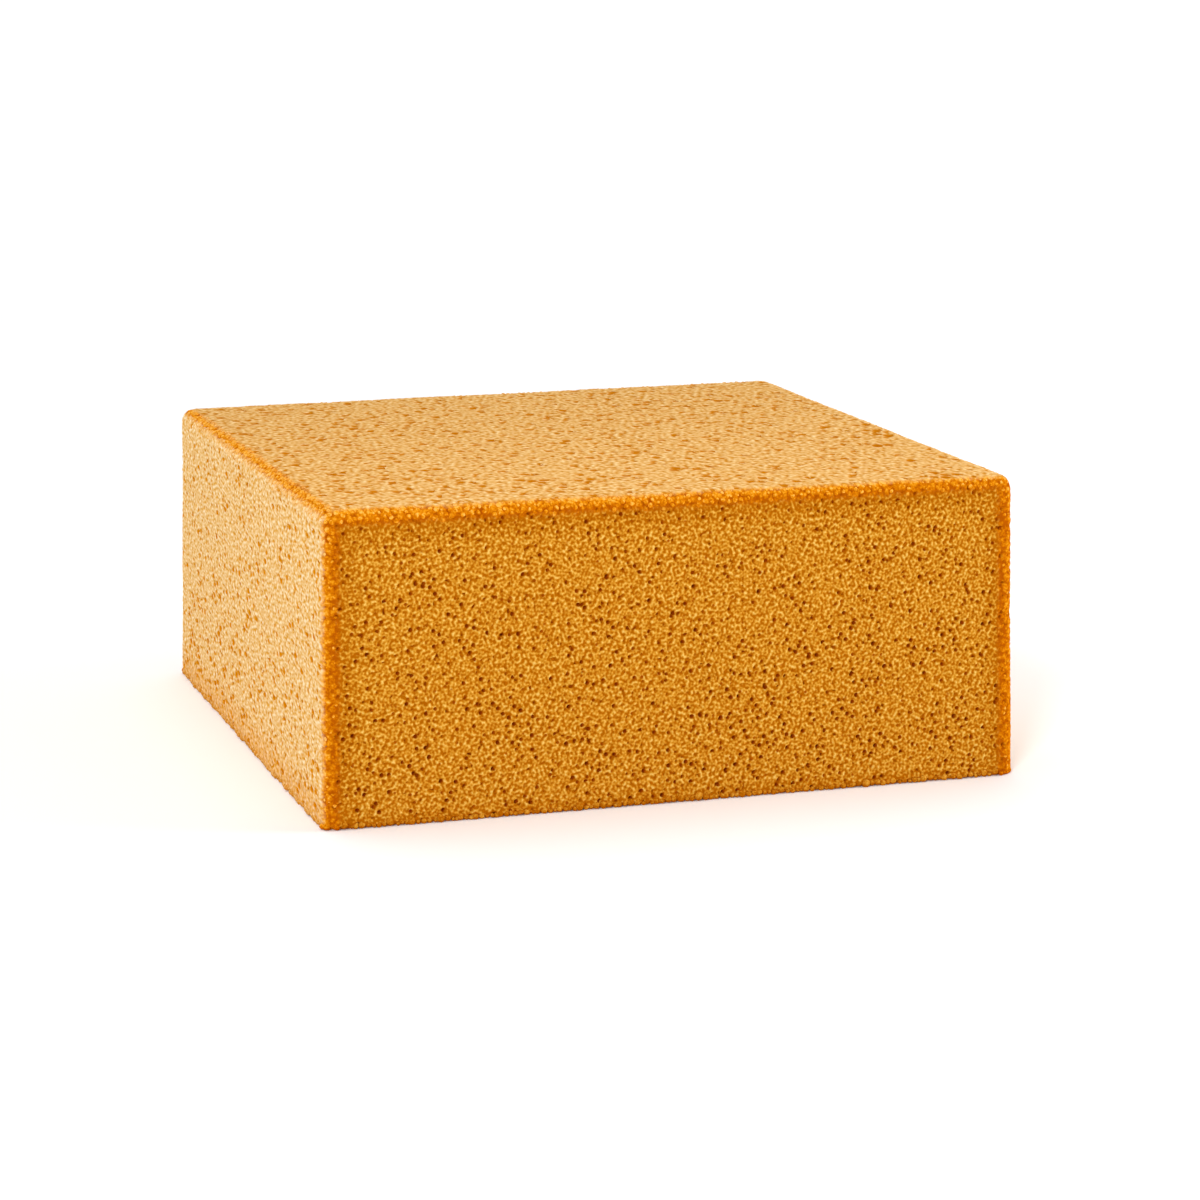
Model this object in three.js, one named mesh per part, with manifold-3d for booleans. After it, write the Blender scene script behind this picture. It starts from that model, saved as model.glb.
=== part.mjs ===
// A square white chocolate mud cake, uncut and bare: one block of open golden crumb.
// Millimetres, +Z up. The origin is the middle of the flat base, the front is -Y and the left is -X.

import * as THREE from 'three';
import { ImprovedNoise } from 'three/addons/math/ImprovedNoise.js';
import { mergeGeometries, mergeVertices } from 'three/addons/utils/BufferGeometryUtils.js';
import Module from 'manifold-3d';

// The block
const baseSide = 200;
const height = 85.7;
const sideLean = 1.65; // each side leans in by this much from base to top
const topTwist = 0.44; // two opposite corners of the top stand this much higher, the others lower
const edgeRadius = 3.6;
const baseTuck = 0.9; // how far the lowest crumbs are drawn in under the sides
const baseTuckHeight = 1.6;

// The faces of soft crumb are never quite flat
const swellDepth = 0.45;
const swellSpan = 34;
const raggedDepth = 0.38;
const raggedSpan = 9;

// How finely the block is divided
const plainSteps = 15; // along each side between the rounded edges
const plainRises = 6;
const edgeSteps = [0.45, 1]; // places across a rounded edge, as shares of its radius

// The open pores, largest first
const poreCount = 500;
const deepCount = 60; // the largest ones, hollowed like a bowl
const largestPore = 1.6; // radius
const smallestPore = 0.85;
const poreDepth = 1.25; // of its radius
const poreMouth = 0.9; // how far a cutter stands out of the face
const poreSides = 5;
const bowlSides = 6;
const poreGap = 2.2; // crumb left standing between two pores
const poreStretch = 0.3; // how oval a pore may be
const poreTurn = 0.35; // radians that a pore may slant
const bowlWidth = 0.72;
const bowlDepth = 0.62;
const poreSeed = 20261127;
const drawsPerPore = 14;

const crumbColour = 0xd58f33;
const crumbRoughness = 0.72;

const half = baseSide / 2;
const noise = new ImprovedNoise();

// Equal draws every time, from a small seeded generator
function seededDraw(seed) {
  let state = seed >>> 0;
  return () => {
    state = (state + 0x6d2b79f5) >>> 0;
    let mixed = Math.imul(state ^ (state >>> 15), state | 1);
    mixed ^= mixed + Math.imul(mixed ^ (mixed >>> 7), mixed | 61);
    return ((mixed ^ (mixed >>> 14)) >>> 0) / 4294967296;
  };
}

// Where the dividing lines cross one axis: even between the edges, gathered on the rounding
function lineShares(reach, steps) {
  const flat = reach - edgeRadius;
  const lines = [];
  for (let step = 0; step <= steps; step += 1) {
    lines.push(-flat + (2 * flat * step) / steps);
  }
  for (const share of edgeSteps) {
    lines.push(flat + edgeRadius * share);
    lines.unshift(-flat - edgeRadius * share);
  }
  return lines;
}

// The upright lines: a short one for the tucked base, even ones, then the rounding of the top
function riseLines() {
  const top = height - edgeRadius;
  const lines = [0];
  for (let step = 0; step <= plainRises; step += 1) {
    lines.push(baseTuckHeight + ((top - baseTuckHeight) * step) / plainRises);
  }
  for (const share of edgeSteps) {
    lines.push(top + edgeRadius * share);
  }
  return lines;
}

function swell(point) {
  const { x, y, z } = point;
  const broad = noise.noise(x / swellSpan + 3.1, y / swellSpan + 7.7, z / swellSpan + 1.9);
  const ragged = noise.noise(x / raggedSpan + 11.3, y / raggedSpan + 5.2, z / raggedSpan + 8.6);
  return broad * swellDepth + ragged * raggedDepth;
}

// Rounds a point of the square block, leans it in and swells it, and keeps the base flat
function shapePoint(point) {
  const inner = new THREE.Vector3(
    THREE.MathUtils.clamp(point.x, -half + edgeRadius, half - edgeRadius),
    THREE.MathUtils.clamp(point.y, -half + edgeRadius, half - edgeRadius),
    Math.min(point.z, height - edgeRadius),
  );
  const outward = point.clone().sub(inner);
  const reach = Math.max(Math.abs(outward.x), Math.abs(outward.y), Math.abs(outward.z));
  const onBase = point.z === 0;
  const shaped = inner;
  if (reach > 0) {
    outward.normalize();
    const grown = onBase ? reach : reach + swell(point);
    shaped.addScaledVector(outward, grown);
  }
  const tucked = baseTuck * Math.max(0, 1 - shaped.z / baseTuckHeight);
  const inset = (sideLean * shaped.z) / height + tucked;
  shaped.x *= 1 - inset / half;
  shaped.y *= 1 - inset / half;
  const lift = (shaped.z / height) * topTwist;
  shaped.z += (lift * shaped.x * shaped.y) / (half * half);
  return shaped;
}

function blockGeometry() {
  const across = lineShares(half, plainSteps);
  const rises = riseLines();
  const spans = [across.length - 1, across.length - 1, rises.length - 1];
  const geometry = new THREE.BoxGeometry(1, 1, 1, ...spans);
  const places = geometry.attributes.position;
  const point = new THREE.Vector3();
  for (let i = 0; i < places.count; i += 1) {
    point.fromBufferAttribute(places, i).addScalar(0.5);
    point.set(
      across[Math.round(point.x * spans[0])],
      across[Math.round(point.y * spans[1])],
      rises[Math.round(point.z * spans[2])],
    );
    places.setXYZ(i, ...shapePoint(point));
  }
  return geometry;
}

// The five faces that show: the outward direction of each, its two other axes and its reach along them
function shownFaces() {
  const up = new THREE.Vector3(0, 0, 1);
  const faces = [{
    out: up,
    along: new THREE.Vector3(1, 0, 0),
    rise: new THREE.Vector3(0, 1, 0),
    low: [-half, -half],
    high: [half, half],
  }];
  for (let quarter = 0; quarter < 4; quarter += 1) {
    const out = new THREE.Vector3(0, -1, 0).applyAxisAngle(up, (quarter * Math.PI) / 2);
    faces.push({
      out,
      along: new THREE.Vector3().crossVectors(up, out),
      rise: up,
      low: [-half, 0],
      high: [half, height],
    });
  }
  return faces;
}

// A drawn place on a face, clear of the rounded edges and on the leaning side
function drawPlace(face, margin, draw) {
  const [along, rise] = face.low.map((low, axis) => (
    low + margin + draw() * (face.high[axis] - low - 2 * margin)
  ));
  const onTop = face.out.z > 0.5;
  const out = onTop ? height : half - (sideLean * rise) / height;
  return new THREE.Vector3()
    .addScaledVector(face.along, along)
    .addScaledVector(face.rise, rise)
    .addScaledVector(face.out, out);
}

// Sets the pores out largest first, each at the place of a few draws that is furthest from the others
function placePores(draw) {
  const faces = shownFaces();
  const shares = faces.map(({ low, high }) => (high[0] - low[0]) * (high[1] - low[1]));
  const total = shares.reduce((sum, share) => sum + share, 0);
  const pores = [];
  for (let index = 0; index < poreCount; index += 1) {
    const radius = largestPore * (smallestPore / largestPore) ** (index / (poreCount - 1));
    const margin = edgeRadius + sideLean + radius;
    let best = null;
    for (let attempt = 0; attempt < drawsPerPore; attempt += 1) {
      let pick = draw() * total;
      const face = faces[shares.findIndex((share) => (pick -= share) <= 0)];
      const centre = drawPlace(face, margin, draw);
      const gaps = pores.map((pore) => pore.centre.distanceTo(centre) - pore.radius);
      const room = Math.min(baseSide, ...gaps) - radius;
      if (!best || room > best.room) {
        best = { centre, radius, room, out: face.out, deep: index < deepCount };
      }
    }
    if (best.room > poreGap) {
      pores.push(best);
    }
  }
  return pores;
}

// A closed cutter on +Y, with its mouth out of the face and its tip in the crumb
function poreGeometry(pore, draw) {
  const depth = pore.radius * poreDepth;
  const profile = [new THREE.Vector2(0, -depth)];
  if (pore.deep) {
    profile.push(new THREE.Vector2(pore.radius * bowlWidth, -depth * bowlDepth));
  }
  profile.push(new THREE.Vector2(pore.radius * (1 + poreMouth / depth), poreMouth));
  profile.push(new THREE.Vector2(0, poreMouth));
  const geometry = new THREE.LatheGeometry(profile, pore.deep ? bowlSides : poreSides);
  const oval = 1 + (2 * draw() - 1) * poreStretch;
  geometry.scale(oval, 1, 1 / oval);
  geometry.rotateY(draw() * 2 * Math.PI);
  geometry.rotateX((2 * draw() - 1) * poreTurn);
  const turn = new THREE.Quaternion().setFromUnitVectors(new THREE.Vector3(0, 1, 0), pore.out);
  geometry.applyQuaternion(turn);
  geometry.translate(...pore.centre);
  return geometry;
}

// Only positions, with the vertices that meet joined, so that the surface is closed
function closedSurface(geometry) {
  geometry.deleteAttribute('normal');
  geometry.deleteAttribute('uv');
  return mergeVertices(geometry, 1e-4);
}

function toSolid(wasm, geometry) {
  const surface = closedSurface(geometry);
  return new wasm.Manifold(new wasm.Mesh({
    numProp: 3,
    vertProperties: Float32Array.from(surface.attributes.position.array),
    triVerts: Uint32Array.from(surface.index.array),
  }));
}

function toGeometry(solid) {
  const mesh = solid.getMesh();
  const geometry = new THREE.BufferGeometry();
  geometry.setAttribute('position', new THREE.BufferAttribute(mesh.vertProperties, 3));
  geometry.setIndex(new THREE.BufferAttribute(mesh.triVerts, 1));
  geometry.computeVertexNormals();
  return geometry;
}

const wasm = await Module();
wasm.setup();

const draw = seededDraw(poreSeed);
const pores = placePores(draw);
const cutters = mergeGeometries(pores.map((pore) => poreGeometry(pore, draw)));
const crumb = toSolid(wasm, blockGeometry()).subtract(toSolid(wasm, cutters));

const cake = new THREE.Mesh(
  toGeometry(crumb),
  new THREE.MeshStandardMaterial({ color: crumbColour, roughness: crumbRoughness, metalness: 0 }),
);
cake.name = 'cake';

const model = new THREE.Group();
model.add(cake);

export default model;
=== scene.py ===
import math
import random

import bmesh
import bpy
import numpy as np
from mathutils import Euler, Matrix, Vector


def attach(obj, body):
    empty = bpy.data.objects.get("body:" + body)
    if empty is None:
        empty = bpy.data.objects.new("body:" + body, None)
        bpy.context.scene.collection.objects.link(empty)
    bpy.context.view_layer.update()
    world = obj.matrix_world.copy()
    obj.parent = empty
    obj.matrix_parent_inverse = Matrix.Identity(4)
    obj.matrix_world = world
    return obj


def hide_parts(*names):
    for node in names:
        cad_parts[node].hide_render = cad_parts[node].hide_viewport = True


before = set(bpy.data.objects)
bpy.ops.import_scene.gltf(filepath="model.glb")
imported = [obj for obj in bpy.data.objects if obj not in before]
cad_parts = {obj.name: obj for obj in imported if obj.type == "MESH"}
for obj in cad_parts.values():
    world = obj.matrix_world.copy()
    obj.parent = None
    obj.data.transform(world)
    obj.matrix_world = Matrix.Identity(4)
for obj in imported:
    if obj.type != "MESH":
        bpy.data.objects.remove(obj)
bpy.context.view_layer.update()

# an uncut cake: fine crumb and browned knobs over the plain solid, in metres
mm = 0.001


# a socket in a node tree: sums of wires and numbers add the Math nodes they need
class Wire:
    def __init__(self, tree, socket=None):
        self.tree = tree
        self.socket = socket

    def add(self, kind, settings=None, sockets=None, out=0):
        node = self.tree.nodes.new(kind)
        for name, value in (settings or {}).items():
            setattr(node, name, value)
        for name, value in (sockets or {}).items():
            if isinstance(value, Wire):
                self.tree.links.new(value.socket, node.inputs[name])
            else:
                node.inputs[name].default_value = value
        return Wire(self.tree, node.outputs[out] if node.outputs else None)

    def also(self, name):  # another output of the same node
        return Wire(self.tree, self.socket.node.outputs[name])

    def maths(self, operation, first, second=0.0):
        return self.add("ShaderNodeMath", {"operation": operation}, {0: first, 1: second})

    def vector(self, operation, second=(0, 0, 0), out=0):
        return self.add("ShaderNodeVectorMath", {"operation": operation}, {0: self, 1: second}, out)

    def stretched(self, factors):
        return self.vector("MULTIPLY", factors)

    def vectorScaled(self, share):
        return self.add("ShaderNodeVectorMath", {"operation": "SCALE"}, {0: self, "Scale": share})

    def least(self, other):
        return self.maths("MINIMUM", self, other)

    def most(self, other):
        return self.maths("MAXIMUM", self, other)

    def size(self):
        return self.maths("ABSOLUTE", self)

    def eased(self, start, end):  # 0 at start, 1 at end, smooth between
        sockets = {"Value": self, "From Min": start, "From Max": end}
        return self.add("ShaderNodeMapRange", {"interpolation_type": "SMOOTHSTEP"}, sockets)

    def mixed(self, none, full):  # a colour between two, by this wire
        return self.add("ShaderNodeMix", {"data_type": "RGBA"}, {0: self, 6: none, 7: full}, 2)

    def parts(self):
        x = self.add("ShaderNodeSeparateXYZ", None, {0: self})
        return x, x.also("Y"), x.also("Z")

    def noise(self, span, detail=2.0, roughness=0.5):  # -0.5 to 0.5, mostly
        sockets = {"Vector": self, "Scale": 1 / span, "Detail": detail, "Roughness": roughness}
        return self.add("ShaderNodeTexNoise", None, sockets) - 0.5

    def bubbles(self, cell):  # distance to the nearest bubble's middle, in metres
        sockets = {"Vector": self, "Scale": 1 / cell, "Randomness": 1.0}
        return self.add("ShaderNodeTexVoronoi", None, sockets) * cell

    def __add__(self, other):
        return self.maths("ADD", self, other)

    def __radd__(self, other):
        return self.maths("ADD", other, self)

    def __sub__(self, other):
        return self.maths("SUBTRACT", self, other)

    def __rsub__(self, other):
        return self.maths("SUBTRACT", other, self)

    def __mul__(self, other):
        return self.maths("MULTIPLY", self, other)

    def __rmul__(self, other):
        return self.maths("MULTIPLY", other, self)

    def __truediv__(self, other):
        return self.maths("DIVIDE", self, other)

    def __rtruediv__(self, other):
        return self.maths("DIVIDE", other, self)


# the block, as the solid has it
block = {
    "side": 200 * mm,
    "height": 85.7 * mm,
    "lean": 1.65 * mm,      # each side comes in by this much at the top
    "twist": 0.44 * mm,     # two opposite corners of the top stand this much higher, the others lower
    "round": 3.6 * mm,      # the top and upright edges
    "roundSteps": 5,
    "tuck": 0.9 * mm,       # the sides draw in at the foot
    "tuckHeight": 1.6 * mm,
    "grid": 0.43 * mm,      # side of the small squares that the skin is divided into
}


# depth below the left or right, the front or back, and the top face
def depths(place):
    x, y, z = place.parts()
    inset = z * (block["lean"] / block["height"])
    half = block["side"] / 2
    return half - inset - x.size(), half - inset - y.size(), block["height"] - z


# the crumb: close lumps and dimples of an even size, finer grain over them, and open pits here and there
foam = {
    "turn": 0.47,            # radians, so that no row of cells is level
    "waves": [(1.0, 1.3, 2.2), (0.68, 1.0, 1.4)],  # length in cells, how regular, strength
    "rise": 0.35 * mm,       # of a lump, to a strength of 1
    "broad": 0.7,            # makes the lumps broad and the dimples narrow
    "evened": 0.06,          # keeps the mean about the same after that
    "fine": 2.6,             # grains to a cell
    "fineDetail": 0.5,
    "speckSpan": 0.6 * mm,
    # darker dimples and pits: partly the crumb's own colour, partly painted shade in the hollows
    "marks": (0.42, 1.1),    # how low a dimple is where its colour starts to turn, and where it has turned
    "mark": 0.82,            # how dark such a dimple gets beside a pit
    "hollow": (0.0, 0.35),   # darkness where the hollow colour starts, and where it is full
    "pore": (0.3, 0.9),      # the same for the darkest colour
    "pitCell": 0.95,         # in cells
    "mouth": (0.21, 0.4),    # of a pit's cell, from the least open pit to the widest
    "wall": 0.75,            # of a pit's width, from its rim to its floor
    "opening": 0.45,         # draws between a shut pit and a fully open one
    "pit": 1.0 * mm,         # deep
    "crowdSpan": 24 * mm,    # patches with more open pits
    "crowd": 0.12,
    "low": 0.06,             # more pits towards the foot
}


# a spot of a face in its own two directions, as a number of cells and turned askew
def faceSpot(place, face):
    along = place.parts()
    across = (along[face["across"]] + face["shift"]) / face["cell"][0]
    rise = along[face["rise"]] / face["cell"][1]
    cos, sin = math.cos(foam["turn"]), math.sin(foam["turn"])
    return place.add(
        "ShaderNodeCombineXYZ", None, {0: across * cos - rise * sin, 1: across * sin + rise * cos}
    )


def lumps(spot):  # about -0.8 in a dimple, 0.4 on a lump
    total = None
    for length, regular, strength in foam["waves"]:
        wave = spot.add(
            "ShaderNodeTexGabor", {"gabor_type": "2D"},
            {"Vector": spot, "Scale": 1 / (length * regular), "Frequency": regular, "Anisotropy": 0.0},
        )
        wave = (wave - 0.5) * strength
        total = wave if total is None else total + wave
    return total + foam["evened"] - total * total * foam["broad"]


def pits(place, spot, face):  # 0 outside the pits, up to 1 in the middle of an open one
    near = spot.add(
        "ShaderNodeTexVoronoi", {"voronoi_dimensions": "2D"},
        {"Vector": spot, "Scale": 1 / foam["pitCell"], "Randomness": 1.0},
    )
    draw, _, _ = near.also("Color").parts()
    _, _, z = place.parts()
    crowd = place.noise(foam["crowdSpan"], detail=1.0) * foam["crowd"]
    crowd = crowd + foam["low"] - z * (2 * foam["low"] / block["height"])
    opened = (draw + crowd).eased(face["shut"], face["shut"] + foam["opening"])
    narrow, widest = (share * face["open"] for share in foam["mouth"])
    return (1 - near / (narrow + (widest - narrow) * opened)).eased(0.0, foam["wall"]) * opened


# soft unevenness of the whole face, and small beads along the edges
relief = {
    "swell": 0.8 * mm,
    "swellSpan": 34 * mm,
    "ragged": 0.1 * mm,
    "raggedSpan": 7 * mm,
    "bead": 0.3 * mm,
    "beadCell": 1.45 * mm,
    "beadWidth": 0.75,              # of its cell
    "proud": 0.4 * mm,              # the whole skin stands this far out of the block
    "edgeBand": (1.6 * mm, 3.2 * mm),  # from the edge, where the beads end and the foam starts
    "grounded": 1.2 * mm,           # above the floor, where the relief is full
    "underside": (-0.6, -0.3),      # skin that faces down more than this stays flat
}


def beads(place):  # rounded, about 0 between them and 1 on top
    near = place.bubbles(relief["beadCell"]) / (relief["beadWidth"] * relief["beadCell"])
    return 1 - near * near


# the browned edges
crust = {
    "soft": 1.1 * mm,                # half the width of its fading border
    "ragged": 2.0 * mm,
    "raggedSpan": 2.0 * mm,
    "raggedDetail": 3.0,
    "raggedRoughness": 0.6,
    "shade": (3.5 * mm, 11.0 * mm),  # beside the crust the crumb is darker, out to here
    "footShadeRise": (1.0 * mm, 4.5 * mm),  # painted shade at the foot, up to here
    "warm": 0.4,                     # of its colour over the crumb with painted sheen at the foot, gone further up
    "warmRise": (0.0, 14 * mm),
    "pitsThrough": 0.6,              # how much of a pit's darkness, partly painted shade, shows through the crust
    "level": -0.15,                  # the shade of its colour, and what lightens it
    # crust beads and lumps paler on top and darker between: partly their own tone, partly painted light
    # and shade
    "beadLevel": 0.8,
    "speckLevel": 2.0,
    "waveLevel": 0.45,
    # painted light along the very edge, and how far in it fades
    "rimLevel": 0.28,
    "rimFade": (0.5 * mm, 3.6 * mm),
}


def crustRough(place):  # how far the crust's border wanders
    noise = place.noise(crust["raggedSpan"], crust["raggedDetail"], crust["raggedRoughness"])
    return noise * crust["ragged"]


def edgeDistance(place):  # depth below the second nearest of the faces
    a, b, c = depths(place)
    return a.most(b).least(a.most(c).least(b.most(c)))


# how far a spot is from the planes of the left, right, front, back and top, and from the foot
def planeDistances(place):
    x, y, z = place.parts()
    reach = block["side"] / 2 - z * (block["lean"] / block["height"])
    return {
        "left": reach + x, "right": reach - x, "front": reach + y, "back": reach - y,
        "top": block["height"] - z, "base": z,
    }


def crustMask(place, face):
    rough = crustRough(place)
    away = planeDistances(place)
    mask = None
    for side, width in face["crust"].items():
        one = 1 - (away[side] + rough - width).eased(-crust["soft"], crust["soft"])
        mask = one if mask is None else mask.most(one)
    return mask


def settle(obj):  # modifiers become the mesh
    depsgraph = bpy.context.evaluated_depsgraph_get()
    done = obj.evaluated_get(depsgraph)
    mesh = bpy.data.meshes.new_from_object(done, preserve_all_data_layers=True, depsgraph=depsgraph)
    spare = obj.data
    obj.modifiers.clear()
    obj.data = mesh
    mesh.name = obj.name
    bpy.data.meshes.remove(spare)


def newObject(name, mesh):
    obj = bpy.data.objects.new(name, mesh)
    bpy.context.scene.collection.objects.link(obj)
    return obj


def nodeGroup(name):
    tree = bpy.data.node_groups.new(name, "GeometryNodeTree")
    tree.interface.new_socket("Geometry", in_out="INPUT", socket_type="NodeSocketGeometry")
    tree.interface.new_socket("Geometry", in_out="OUTPUT", socket_type="NodeSocketGeometry")
    return tree


def makeBlock():
    bm = bmesh.new()
    bmesh.ops.create_cube(bm, size=1)
    bmesh.ops.scale(bm, verts=bm.verts, vec=(block["side"], block["side"], block["height"]))
    bmesh.ops.translate(bm, verts=bm.verts, vec=(0, 0, block["height"] / 2))
    top = [v for v in bm.verts if v.co.z > block["height"] / 2]
    shrink = 1 - 2 * block["lean"] / block["side"]
    bmesh.ops.scale(bm, verts=top, vec=(shrink, shrink, 1))
    for v in top:
        v.co.z += block["twist"] * (1 if v.co.x * v.co.y > 0 else -1)
    rounded = [e for e in bm.edges if max(v.co.z for v in e.verts) > block["height"] / 2]
    bmesh.ops.bevel(
        bm, geom=rounded, offset=block["round"], affect="EDGES",
        segments=block["roundSteps"], profile=0.5, material=-1,
    )
    bmesh.ops.recalc_face_normals(bm, faces=bm.faces)
    mesh = bpy.data.meshes.new("block")
    bm.to_mesh(mesh)
    bm.free()
    obj = newObject("block", mesh)
    fine = obj.modifiers.new("fine", "REMESH")
    fine.mode = "VOXEL"
    fine.voxel_size = block["grid"]
    settle(obj)
    print("block divided,", len(obj.data.polygons), "faces")
    return obj


# the faces become pieces of their own, so that none has too many triangles
# across and rise are a face's axes, and shift gives it a pattern of its own
# depth and open are the depth of its foam and the width of its pits, and shut the draws that open none
# level, lace, fine and dark are its shade and how strongly lumps, grain and pits change that, the lumps
# and pits partly with painted light and shade
# beside darkens it beside the crust; low and the back shade paint shade on it, at the foot and towards the
# back
# the sheen share gives its crumb the paler colours that paint the sheen of grazing light, and the
# rim-light fade is how fast the painted light on its crust fades away from the edge, or grows where it is
# below 0
faces = {
    "top": {
        "across": 0, "rise": 1, "shift": 1.0, "cell": (3.2 * mm, 4.0 * mm), "depth": 0.5,
        "level": 0.46, "lace": 0.82, "fine": 2.0, "beside": 0.0, "low": 0.0, "paintedBackShade": 0.1, "cream": 0.55,
        "shut": 0.57, "open": 1.8, "dark": 0.68, "rimLightFade": -0.5, "triangles": 196000,
        "crust": {"front": 2.1 * mm, "left": 2.8 * mm, "right": 1.2 * mm, "back": 1.0 * mm},
    },
    "front": {
        "across": 0, "rise": 2, "shift": 2.0, "cell": (2.1 * mm, 2.1 * mm), "depth": 1.0,
        "level": 0.27, "lace": 0.86, "fine": 2.8, "beside": 0.32, "low": 0.35, "paintedBackShade": 0.0, "cream": 0.0,
        "shut": 0.58, "open": 1.0, "dark": 1.0, "rimLightFade": 0.58, "triangles": 196000,
        "crust": {"left": 4.1 * mm, "right": 4.7 * mm, "top": 3.6 * mm, "base": 0.8 * mm},
    },
    "right": {
        "across": 1, "rise": 2, "shift": 3.0, "cell": (2.2 * mm, 2.1 * mm), "depth": 1.0,
        "level": 0.4, "lace": 0.8, "fine": 2.6, "beside": 0.3, "low": 0.3, "paintedBackShade": 0.0, "cream": 0.3,
        "shut": 0.6, "open": 1.0, "dark": 1.0, "rimLightFade": 0.5, "triangles": 196000,
        "crust": {"front": 3.4 * mm, "back": 3.2 * mm, "top": 3.2 * mm, "base": 0.8 * mm},
    },
    "back": {
        "across": 0, "rise": 2, "shift": 4.0, "cell": (2.1 * mm, 2.1 * mm), "depth": 1.0,
        "level": 0.37, "lace": 0.86, "fine": 2.8, "beside": 0.4, "low": 0.35, "paintedBackShade": 0.0, "cream": 0.1,
        "shut": 0.6, "open": 1.0, "dark": 1.0, "rimLightFade": 0.65, "triangles": 196000,
        "crust": {"left": 3.2 * mm, "right": 3.4 * mm, "top": 3.4 * mm, "base": 0.8 * mm},
    },
    "left": {
        "across": 1, "rise": 2, "shift": 5.0, "cell": (4.4 * mm, 2.1 * mm), "depth": 0.5,
        "level": 0.44, "lace": 0.92, "fine": 2.4, "beside": 0.0, "low": 0.1, "paintedBackShade": 0.0, "cream": 1.0,
        "shut": 0.68, "open": 1.65, "dark": 0.95, "rimLightFade": -0.2, "triangles": 196000,
        "crust": {"front": 2.0 * mm, "back": 0.8 * mm, "top": 1.6 * mm, "base": 0.6 * mm},
    },
    "base": {
        "across": 0, "rise": 1, "shift": 6.0, "cell": (2.3 * mm, 2.3 * mm), "depth": 1.0,
        "level": 0.4, "lace": 0.8, "fine": 2.0, "beside": 0.3, "low": 0.0, "paintedBackShade": 0.0, "cream": 0.3,
        "shut": 0.6, "open": 1.0, "dark": 1.0, "rimLightFade": 0.4, "triangles": 12000,
        "crust": {"front": 1.3 * mm, "back": 1.3 * mm, "left": 1.3 * mm, "right": 1.3 * mm},
    },
}


def onFace(place, name):  # 1 where this face is the nearest of the six
    a, b, c = depths(place)
    x, y, z = place.parts()
    if name == "top":
        return a.maths("LESS_THAN", c, a.least(b).least(z))
    if name == "base":
        return a.maths("LESS_THAN", z, a.least(b).least(c))
    above = a.maths("GREATER_THAN", z.least(c), a.least(b))
    mine, other, along = (b, a, y) if name in ("front", "back") else (a, b, x)
    nearest = mine.maths("LESS_THAN", mine, other)
    side = along.maths("GREATER_THAN" if name in ("right", "back") else "LESS_THAN", along, 0.0)
    return above * nearest * side


def skinOf(start, body):
    return start.add(
        "GeometryNodeObjectInfo", {"transform_space": "ORIGINAL"}, {"Object": body}, "Geometry"
    )


# one face of the block with its foam; the rounded edges have only the relief that the next face has too
def faceGroup(body, name):
    face = faces[name]
    tree = nodeGroup(name + "Face")
    start = Wire(tree).add("NodeGroupInput")
    skin = skinOf(start, body)
    place = start.add("GeometryNodeInputPosition")
    normal = start.add("GeometryNodeInputNormal")
    skin = keep(skin, "skinPlace", "FLOAT_VECTOR", place)
    skin = keep(skin, "skinNormal", "FLOAT_VECTOR", normal)
    part = start.add(
        "GeometryNodeDeleteGeometry", {"domain": "FACE"},
        {"Geometry": skin, "Selection": 1 - onFace(place, name)},
    )
    out = start.add(
        "GeometryNodeInputNamedAttribute", {"data_type": "FLOAT_VECTOR"}, {"Name": "skinNormal"}
    )
    spot = faceSpot(place, face)
    wave = lumps(spot)
    part = keep(part, "wave", "FLOAT", wave)
    inner = edgeDistance(place).eased(*relief["edgeBand"])
    swell = place.noise(relief["swellSpan"]) * relief["swell"]
    swell = swell + place.noise(relief["raggedSpan"]) * relief["ragged"]
    foamed = (wave * foam["rise"] - pits(place, spot, face) * foam["pit"]) * face["depth"]
    push = relief["proud"] + swell + inner * foamed + (1 - inner) * beads(place) * relief["bead"]
    _, _, up = out.parts()
    _, _, z = place.parts()
    standing = z.eased(0.0, relief["grounded"]) * up.eased(*relief["underside"])
    offset = out.vectorScaled(push * standing)
    drawn = (z.eased(0.0, block["tuckHeight"]) - 1) * (2 * block["tuck"] / block["side"])
    offset = offset.vector("ADD", place.stretched((1, 1, 0)).vectorScaled(drawn))
    moved = start.add("GeometryNodeSetPosition", None, {"Geometry": part, "Offset": offset})
    start.add("NodeGroupOutput", None, {"Geometry": moved})
    return tree


def keep(skin, name, kind, value):
    return skin.add(
        "GeometryNodeStoreNamedAttribute", {"data_type": kind, "domain": "POINT"},
        {"Geometry": skin, "Name": name, "Value": value},
    )


def makeFace(body, name):
    face = faces[name]
    obj = newObject(name + "Crumb", bpy.data.meshes.new(name + "Crumb"))
    cut = obj.modifiers.new("cut", "NODES")
    cut.node_group = faceGroup(body, name)
    settle(obj)
    if 2 * len(obj.data.polygons) > face["triangles"]:
        thinFace(obj, face["triangles"])
    obj.data.shade_smooth()
    obj.data.materials.clear()
    obj.data.materials.append(crumbMaterial(name))
    unfold(obj, face)
    countTriangles(obj)
    return obj


# fewer triangles, but not along the border, where the next face meets this one
def thinFace(obj, triangles):
    bm = bmesh.new()
    bm.from_mesh(obj.data)
    inner = [v.index for v in bm.verts if not v.is_boundary]
    bm.free()
    group = obj.vertex_groups.new(name="inner")
    group.add(inner, 1.0, "REPLACE")
    thin = obj.modifiers.new("thin", "DECIMATE")
    thin.vertex_group = "inner"
    thin.ratio = triangles / (2 * len(obj.data.polygons))
    settle(obj)
    obj.vertex_groups.clear()


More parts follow.
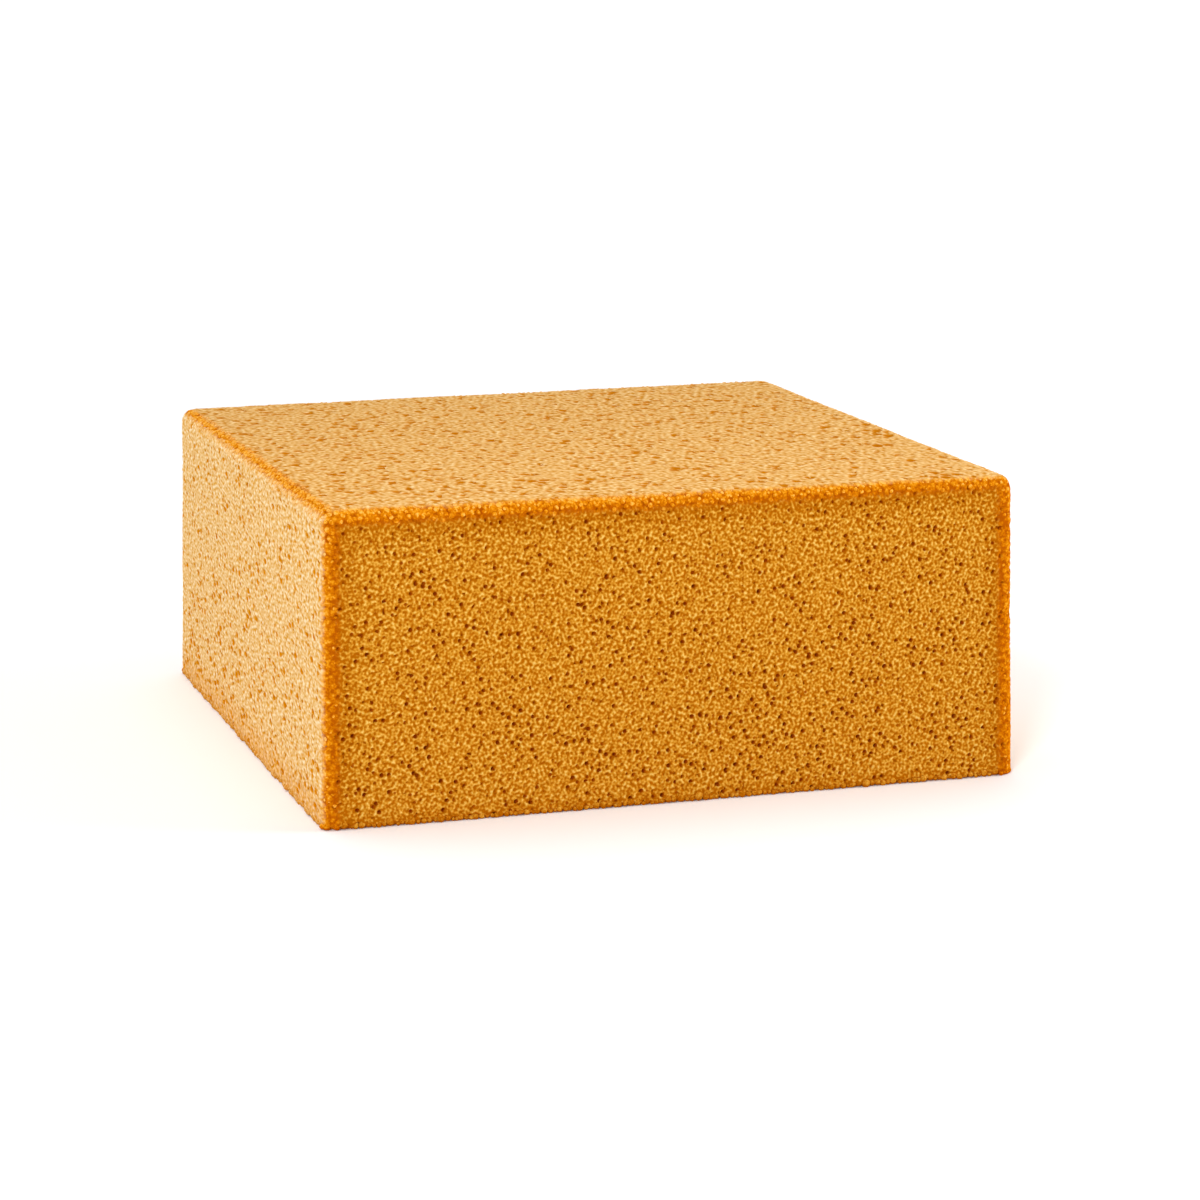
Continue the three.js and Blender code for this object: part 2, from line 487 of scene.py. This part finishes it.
# the face laid flat, for the maps
def unfold(obj, face):
    mesh = obj.data
    co = np.empty(len(mesh.vertices) * 3, np.float32)
    mesh.vertices.foreach_get("co", co)
    corner = np.empty(len(mesh.loops), np.int32)
    mesh.loops.foreach_get("vertex_index", corner)
    flat = co.reshape(-1, 3)[:, [face["across"], face["rise"]]]
    flat = (flat - flat.min(axis=0)) / (flat.max() - flat.min())
    layer = mesh.uv_layers.new(name="OFBake")
    layer.data.foreach_set("uv", flat[corner].ravel())


# colours of the crumb, as linear light: golden, and paler colours that paint the sheen of grazing light on
# the left and the top
crumbLook = {
    "golden": {
        "glint": (0.87, 0.55, 0.135, 1),
        "pale": (0.77, 0.385, 0.051, 1),
        "body": (0.635, 0.257, 0.016, 1),
        "deep": (0.455, 0.123, 0.0008, 1),
        "hollow": (0.44, 0.10, 0.0008, 1),
        "pore": (0.28, 0.040, 0.0005, 1),
    },
    "cream": {
        "glint": (1.0, 0.80, 0.52, 1),
        "pale": (0.92, 0.66, 0.34, 1),
        "body": (0.85, 0.52, 0.195, 1),
        "deep": (0.74, 0.35, 0.040, 1),
        "hollow": (0.71, 0.265, 0.004, 1),
        "pore": (0.57, 0.165, 0.001, 1),
    },
    "crust": {
        "glint": (0.96, 0.50, 0.085, 1),
        "pale": (0.83, 0.31, 0.008, 1),
        "body": (0.65, 0.18, 0.001, 1),
        "deep": (0.46, 0.095, 0.0006, 1),
    },
    "steps": [(-0.3, 0.45), (0.35, 0.9), (0.8, 1.35)],  # levels from deep to body, to pale, to glint
    "roughness": 0.5,
    "roughVary": 0.3,
}

# small bumps in the shading, over what the mesh has
bumps = {
    "lump": 0.1 * mm,
    "fine": 0.2 * mm,
    "pit": 0.3 * mm,
    "bead": 0.15 * mm,
    "speck": 0.18 * mm,
    "knob": 0.13 * mm,
}


def startMaterial(name):
    material = bpy.data.materials.new(name)
    material.use_nodes = True
    material.node_tree.nodes.clear()
    return material, Wire(material.node_tree)


def between(one, other, share):  # the colours of a crumb between two kinds
    return {
        name: tuple(a + (b - a) * share for a, b in zip(colour, other[name]))
        for name, colour in one.items()
    }


# from a kind's deep colour to its glint; the level is mostly 0 to 1
def shaded(level, kind):
    shade = kind["deep"]
    for name, step in zip(("body", "pale", "glint"), crumbLook["steps"]):
        shade = level.eased(*step).mixed(shade, kind[name])
    return shade


def fineGrain(spot):
    sockets = {"Vector": spot, "Scale": foam["fine"], "Detail": foam["fineDetail"]}
    return spot.add("ShaderNodeTexNoise", {"noise_dimensions": "2D"}, sockets) - 0.5


def crustSpecks(place):
    return place.noise(foam["speckSpan"], detail=1.0)


def rimLight(away, rimLightFade):  # painted light: the crust is lightest on the very edge where its fade is above 0
    return crust["rimLevel"] - away.eased(*crust["rimFade"]) * rimLightFade


def crumbShader(start, colour, grain, height):
    normal = start.add("ShaderNodeBump", None, {"Height": height, "Distance": 1.0, "Strength": 1.0})
    roughness = crumbLook["roughness"] + grain * crumbLook["roughVary"]
    shader = start.add(
        "ShaderNodeBsdfPrincipled", None,
        {"Base Color": colour, "Roughness": roughness, "Normal": normal, "Specular IOR Level": 0.0},
    )
    start.add("ShaderNodeOutputMaterial", None, {"Surface": shader})


def crumbMaterial(name):
    look = crumbLook
    face = faces[name]
    material, start = startMaterial(name + "Crumb")
    place = start.add("ShaderNodeAttribute", {"attribute_name": "skinPlace"}, None, "Vector")
    wave = start.add("ShaderNodeAttribute", {"attribute_name": "wave"}, None, "Fac")
    spot = faceSpot(place, face)
    fine = fineGrain(spot)
    bead = beads(place)
    specks = crustSpecks(place)
    away = edgeDistance(place)
    inner = away.eased(*relief["edgeBand"])
    beside = 1 - away.eased(*crust["shade"])
    _, y, z = place.parts()
    # painted shade at the foot
    low = 1 - z.eased(*crust["footShadeRise"])
    # lumps paler and dimples darker: partly the crumb's own tone, partly painted light and shade on the
    # relief
    level = face["level"] + wave * face["lace"] + fine * face["fine"]
    level = level - beside * face["beside"] - low * face["low"]
    # dimples beside pits and the pits themselves darker: partly the crumb's own colour, partly painted
    # shade
    marks = (wave * -1).eased(*foam["marks"]) * foam["mark"]
    dark = pits(place, spot, face).most(marks) * inner * face["dark"]
    # the paler colours on the top and the left paint the sheen of grazing light
    tint = between(look["golden"], look["cream"], face["cream"])
    colour = dark.eased(*foam["hollow"]).mixed(shaded(level, tint), tint["hollow"])
    colour = dark.eased(*foam["pore"]).mixed(colour, tint["pore"])
    # painted shade: the top darker towards the back, where less light falls
    if face["paintedBackShade"]:
        colour = colour.vectorScaled(1 - face["paintedBackShade"] * (y / block["side"] + 0.5))
    # beads and lumps of the crust paler on top, darker between: partly painted light and shade
    baked = bead * crust["beadLevel"] + specks * crust["speckLevel"] + wave * crust["waveLevel"]
    # painted light along the very edge of the crust
    baked = baked + rimLight(away, face["rimLightFade"]) + crust["level"]
    browned = shaded(baked, look["crust"])
    warm = (1 - z.eased(*crust["warmRise"])) * (crust["warm"] * face["cream"])
    covered = crustMask(place, face).most(warm) * (1 - crust["pitsThrough"] * dark)
    colour = covered.mixed(colour, browned)
    height = inner * (wave * bumps["lump"] + fine * bumps["fine"] - dark * bumps["pit"])
    height = height + (1 - inner) * (bead * bumps["bead"] + specks * bumps["speck"])
    crumbShader(start, colour, fine, height)
    return material


# round knobs along the edges
rim = {
    "gap": 1.42 * mm, "density": 3e6, "radius": (0.6 * mm, 0.92 * mm), "squash": 0.85,
    "lift": 0.2 * mm,       # middle of a raised knob, out of the block
    "sunk": 0.36 * mm,      # how much lower the others are
    "corners": (8, 6), "seed": 5,
    "reach": 3.2 * mm,      # from the edge
    "low": 2.5 * mm,        # none below this
    "tilt": 0.4,            # radians, either way
    "frontBand": (1 * mm, 5 * mm),      # from the front, where the raised knobs end
    "leftBand": (4 * mm, 9 * mm),
    "backBand": (6 * mm, 14 * mm),
    "topBand": (-9 * mm, -5 * mm),      # below the top
}


def rimShape():
    bm = bmesh.new()
    around, rings = rim["corners"]
    bmesh.ops.create_uvsphere(bm, u_segments=around, v_segments=rings, radius=1)
    rise = bm.verts.layers.float.new("rise")
    for v in bm.verts:
        # height on the knob, for its painted highlight
        v[rise] = v.co.z
    bmesh.ops.scale(bm, verts=bm.verts, vec=(1, 1, rim["squash"]))
    mesh = bpy.data.meshes.new("knob")
    bm.to_mesh(mesh)
    bm.free()
    mesh.shade_smooth()
    return newObject("knob", mesh)


def rimPlaces(place):  # 1 where the knobs belong
    _, _, z = place.parts()
    edge = edgeDistance(place) + crustRough(place)
    return edge.maths("LESS_THAN", edge, rim["reach"]) * z.maths("GREATER_THAN", z, rim["low"])


# the knobs stand out along the front and left edges of the top, and are worn down elsewhere
def rimLift(place):
    x, y, z = place.parts()
    half = block["side"] / 2
    front = 1 - (y + half).eased(*rim["frontBand"])
    left = 1 - (x + half).eased(*rim["leftBand"])
    raised = front.most(left * (half - y).eased(*rim["backBand"]))
    raised = raised * (z - block["height"]).eased(*rim["topBand"])
    return rim["lift"] - rim["sunk"] * (1 - raised)


def rimGroup(body, shape, material):
    tree = nodeGroup("rimKnobs")
    start = Wire(tree).add("NodeGroupInput")
    skin = skinOf(start, body)
    place = start.add("GeometryNodeInputPosition")
    here = rimPlaces(place)
    points = start.add(
        "GeometryNodeDistributePointsOnFaces", {"distribute_method": "POISSON"},
        {
            "Mesh": skin, "Selection": here.maths("GREATER_THAN", here, 0.5),
            "Distance Min": rim["gap"], "Density Max": rim["density"], "Seed": rim["seed"],
        },
    )
    tilt = rim["tilt"]
    spin = start.add(
        "FunctionNodeRandomValue", {"data_type": "FLOAT_VECTOR"},
        {0: (-tilt, -tilt, -math.pi), 1: (tilt, tilt, math.pi), "Seed": rim["seed"]},
    )
    facing = points.also("Rotation")
    turned = start.add(
        "FunctionNodeRotateRotation", {"rotation_space": "LOCAL"},
        {"Rotation": facing, "Rotate By": start.add("FunctionNodeEulerToRotation", None, {0: spin})},
    )
    low, high = rim["radius"]
    size = start.add(
        "FunctionNodeRandomValue", {"data_type": "FLOAT_VECTOR"},
        {0: (low, low, low), 1: (high, high, high), "Seed": rim["seed"] + 1},
    )
    tone = start.add(
        "FunctionNodeRandomValue", {"data_type": "FLOAT"}, {2: 0.0, 3: 1.0, "Seed": rim["seed"] + 2}, 1
    )
    browned = None
    cream = None
    for side, face in faces.items():
        on = onFace(place, side)
        brownedHere = on * crustMask(place, face)
        # the share of painted sheen of the face below
        sheenHere = on * face["cream"]
        browned = brownedHere if browned is None else browned + brownedHere
        cream = sheenHere if cream is None else cream + sheenHere
    upright = start.add("ShaderNodeCombineXYZ", None, {2: rimLift(place)})
    lifted = start.add("FunctionNodeRotateVector", None, {"Vector": upright, "Rotation": facing})
    points = keep(points, "tone", "FLOAT", tone)
    points = keep(points, "browned", "FLOAT", browned)
    points = keep(points, "cream", "FLOAT", cream)
    points = start.add("GeometryNodeSetPosition", None, {"Geometry": points, "Offset": lifted})
    spread = start.add(
        "GeometryNodeInstanceOnPoints", None,
        {
            "Points": points, "Rotation": turned, "Scale": size,
            "Instance": start.add("GeometryNodeObjectInfo", None, {"Object": shape}, "Geometry"),
        },
    )
    solid = start.add("GeometryNodeRealizeInstances", None, {"Geometry": spread})
    solid = start.add("GeometryNodeSetMaterial", None, {"Geometry": solid, "Material": material})
    start.add("NodeGroupOutput", None, {"Geometry": solid})
    return tree


def makeRim(body, material):
    shape = rimShape()
    obj = newObject("rimKnobs", bpy.data.meshes.new("rimKnobs"))
    scatter = obj.modifiers.new("scatter", "NODES")
    scatter.node_group = rimGroup(body, shape, material)
    settle(obj)
    bpy.data.objects.remove(shape)
    countTriangles(obj)
    return obj


# an uneven row of knobs all round the foot, just clear of the floor
foot = {
    "radius": (0.6 * mm, 1.2 * mm),
    "gap": (1.45, 2.0),     # to the next knob, in radii
    "uneven": 0.2,          # of the radius, along each axis
    "dented": 0.09,         # of the radius, at each corner
    "out": (-0.5 * mm, 0.0),  # middle of a knob, from the side of the block
    "lift": (0.75, 1.2),    # in radii
    "tone": (-0.9, 0.25),   # random, mostly darker than the knobs of the edges: painted shade at the foot
    "cream": 0.55,          # painted sheen, on the left side
    "corner": 4.2 * mm,     # browned this near the upright edges
    "floor": 0.02 * mm,
    "corners": (8, 6),
    "seed": 11,
}


# spot, outward direction and radius of each knob, walking round the rounded square
def footPlaces(draw):
    straight = block["side"] - 2 * block["round"]
    quarterWay = straight + math.pi / 2 * block["round"]
    walked = 0.0
    while walked < 4 * quarterWay - foot["radius"][0]:
        quarter, along = divmod(walked, quarterWay)
        swing = max(0.0, along - straight) / block["round"]
        out = Vector((0, -1, 0))
        out.rotate(Euler((0, 0, swing)))
        spot = Vector((min(along, straight) - straight / 2, -straight / 2, 0))
        spot += out * (block["round"] + draw.uniform(*foot["out"]))
        side = Euler((0, 0, quarter * math.pi / 2))
        spot.rotate(side)
        out.rotate(side)
        radius = draw.uniform(*foot["radius"])
        yield spot, out, radius
        walked += radius * draw.uniform(*foot["gap"])


def footKnob(spot, out, radius, draw):
    bm = bmesh.new()
    around, rings = foot["corners"]
    layers = {name: bm.verts.layers.float.new(name) for name in ("tone", "rise", "browned", "cream")}
    bmesh.ops.create_uvsphere(bm, u_segments=around, v_segments=rings, radius=radius)
    sizes = [1 + draw.uniform(-1, 1) * foot["uneven"] for _ in range(3)]
    bmesh.ops.scale(bm, verts=bm.verts, vec=sizes)
    turn = Euler([draw.uniform(-math.pi, math.pi) for _ in range(3)])
    bmesh.ops.rotate(bm, verts=bm.verts, matrix=turn.to_matrix())
    tone = draw.uniform(*foot["tone"])
    nearCorner = min(abs(spot.x), abs(spot.y)) > block["side"] / 2 - foot["corner"]
    facing = (out + Vector((0, 0, 1))).normalized()
    middle = spot + Vector((0, 0, radius * draw.uniform(*foot["lift"])))
    for v in bm.verts:
        v.co *= 1 + draw.uniform(-1, 1) * foot["dented"]
        v[layers["tone"]] = tone
        # how far it faces out and up, for its painted highlight
        v[layers["rise"]] = v.co.dot(facing) / radius
        v[layers["browned"]] = 1.0 if nearCorner else 0.0
        v[layers["cream"]] = max(0.0, -out.x) * foot["cream"]
        v.co += middle
        v.co.z = max(v.co.z, foot["floor"])
    for f in bm.faces:
        f.smooth = True
    return bm


def makeFoot(material):
    draw = random.Random(foot["seed"])
    row = bmesh.new()
    one = bpy.data.meshes.new("footKnob")
    for spot, out, radius in footPlaces(draw):
        knob = footKnob(spot, out, radius, draw)
        knob.to_mesh(one)
        knob.free()
        row.from_mesh(one)
    bpy.data.meshes.remove(one)
    mesh = bpy.data.meshes.new("footKnobs")
    row.to_mesh(mesh)
    row.free()
    mesh.materials.append(material)
    obj = newObject("footKnobs", mesh)
    countTriangles(obj)
    return obj


def countTriangles(obj):
    obj.data.calc_loop_triangles()
    print(obj.name, len(obj.data.loop_triangles), "triangles")


# what lightens or darkens a knob
knobShade = {
    "level": -0.22,
    "tone": 0.5,
    "rise": 0.7,     # painted highlight: paler on its top
    "speck": 2.2,
    # how fast the painted light on a knob's edge fades inwards
    "rimLightFade": 0.3,
    "cream": 0.3,    # painted sheen: browned knobs are lighter beside the crumb with painted sheen
}


def knobMaterial():
    look = crumbLook
    material, start = startMaterial("knobs")
    place = start.add("ShaderNodeTexCoord", None, None, "Object")
    tone, rise, browned, cream = (
        start.add("ShaderNodeAttribute", {"attribute_name": name}, None, "Fac")
        for name in ("tone", "rise", "browned", "cream")
    )
    specks = crustSpecks(place)
    # painted highlight on the knobs' tops; tone is random
    level = tone * knobShade["tone"] + rise * knobShade["rise"] + specks * knobShade["speck"]
    level = level + knobShade["level"]
    light = rimLight(edgeDistance(place), knobShade["rimLightFade"]) + cream * knobShade["cream"]
    crusty = shaded(level + light, look["crust"])
    # the paler colours paint the sheen of grazing light
    golden, sheened = (shaded(level, look[kind]) for kind in ("golden", "cream"))
    colour = browned.mixed(cream.mixed(golden, sheened), crusty)
    crumbShader(start, colour, specks, specks * bumps["knob"])
    return material


wholeBlock = makeBlock()
crumbPieces = [makeFace(wholeBlock, name) for name in faces]
knobLook = knobMaterial()
knobPieces = [makeRim(wholeBlock, knobLook), makeFoot(knobLook)]
bpy.data.objects.remove(wholeBlock)

for piece in crumbPieces + knobPieces:
    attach(piece, "root")
for piece in crumbPieces:
    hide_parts("cake")


# pale floor, soft light and the camera
studio = {
    "floorSize": 24.0,
    "floorColour": (0.94, 0.94, 0.94, 1),
    "floorRough": 0.8,
    "glowNear": (0.08, 0.08, 0.08, 1),  # the floor stays as pale far behind the cake as round it
    "glowFar": (0.36, 0.36, 0.36, 1),
    "glowReach": (0.5, 2.5),
    "yaw": 17.63,          # degrees
    "pitch": 11.71,
    "distance": 1027.7 * mm,
    "aim": (8.07 * mm, -2.57 * mm, 37.03 * mm),
    "sensor": 36.0,
    "lens": 102.75,
    "clipEnd": 100.0,
}


def makeFloor():
    bm = bmesh.new()
    bmesh.ops.create_grid(bm, x_segments=1, y_segments=1, size=studio["floorSize"] / 2)
    mesh = bpy.data.meshes.new("floor")
    bm.to_mesh(mesh)
    bm.free()
    floor = newObject("floor", mesh)
    material, start = startMaterial("paleFloor")
    far = start.add("ShaderNodeTexCoord", None, None, "Object").vector("LENGTH", out="Value")
    glow = far.eased(*studio["glowReach"]).mixed(studio["glowNear"], studio["glowFar"])
    shader = start.add(
        "ShaderNodeBsdfPrincipled", None,
        {
            "Base Color": studio["floorColour"], "Roughness": studio["floorRough"],
            "Emission Color": glow, "Emission Strength": 1.0,
        },
    )
    start.add("ShaderNodeOutputMaterial", None, {"Surface": shader})
    mesh.materials.append(material)


def makeCamera():
    camera = bpy.data.objects.new("camera", bpy.data.cameras.new("camera"))
    bpy.context.scene.collection.objects.link(camera)
    yaw, pitch = math.radians(studio["yaw"]), math.radians(studio["pitch"])
    ahead = Vector((math.sin(yaw) * math.cos(pitch), math.cos(yaw) * math.cos(pitch), -math.sin(pitch)))
    camera.location = Vector(studio["aim"]) - ahead * studio["distance"]
    camera.rotation_euler = ahead.to_track_quat("-Z", "Y").to_euler()
    camera.data.sensor_width = studio["sensor"]
    camera.data.lens = studio["lens"]
    camera.data.clip_end = studio["clipEnd"]
    bpy.context.scene.camera = camera


lamps = [
    {"name": "key", "kind": "AREA", "place": (-1.15, -1.85, 1.4), "width": 0.45, "power": 31.0},
    {"name": "overhead", "kind": "SUN", "place": (-0.3, 0.4, 2.0), "width": 1.0, "power": 0.98},
    {"name": "fill", "kind": "AREA", "place": (2.1, -0.5, 0.8), "width": 1.0, "power": 30.0},
]
backdrop = {"front": 0.17, "back": 0.75, "turn": (-0.5, 0.7)}


def makeLights():
    for lamp in lamps:
        light = bpy.data.lights.new(lamp["name"], lamp["kind"])
        setattr(light, "size" if lamp["kind"] == "AREA" else "angle", lamp["width"])
        light.energy = lamp["power"]
        obj = bpy.data.objects.new(lamp["name"], light)
        obj.location = lamp["place"]
        obj.rotation_euler = (-Vector(lamp["place"])).to_track_quat("-Z", "Y").to_euler()
        obj.visible_camera = False
        bpy.context.scene.collection.objects.link(obj)


def makeWorld():
    world = bpy.data.worlds.new("studio")
    bpy.context.scene.world = world
    world.use_nodes = True
    world.node_tree.nodes.clear()
    start = Wire(world.node_tree)
    _, y, _ = start.add("ShaderNodeTexCoord", None, None, "Generated").parts()
    level = backdrop["front"] + (backdrop["back"] - backdrop["front"]) * y.eased(*backdrop["turn"])
    seen = start.add("ShaderNodeLightPath", None, None, "Is Camera Ray")
    strength = level.most(seen)
    shader = start.add("ShaderNodeBackground", None, {"Color": (1, 1, 1, 1), "Strength": strength})
    start.add("ShaderNodeOutputWorld", None, {"Surface": shader})


makeFloor()
makeCamera()
makeLights()
makeWorld()
bpy.context.scene.view_settings.view_transform = "Standard"
print("studio ready")
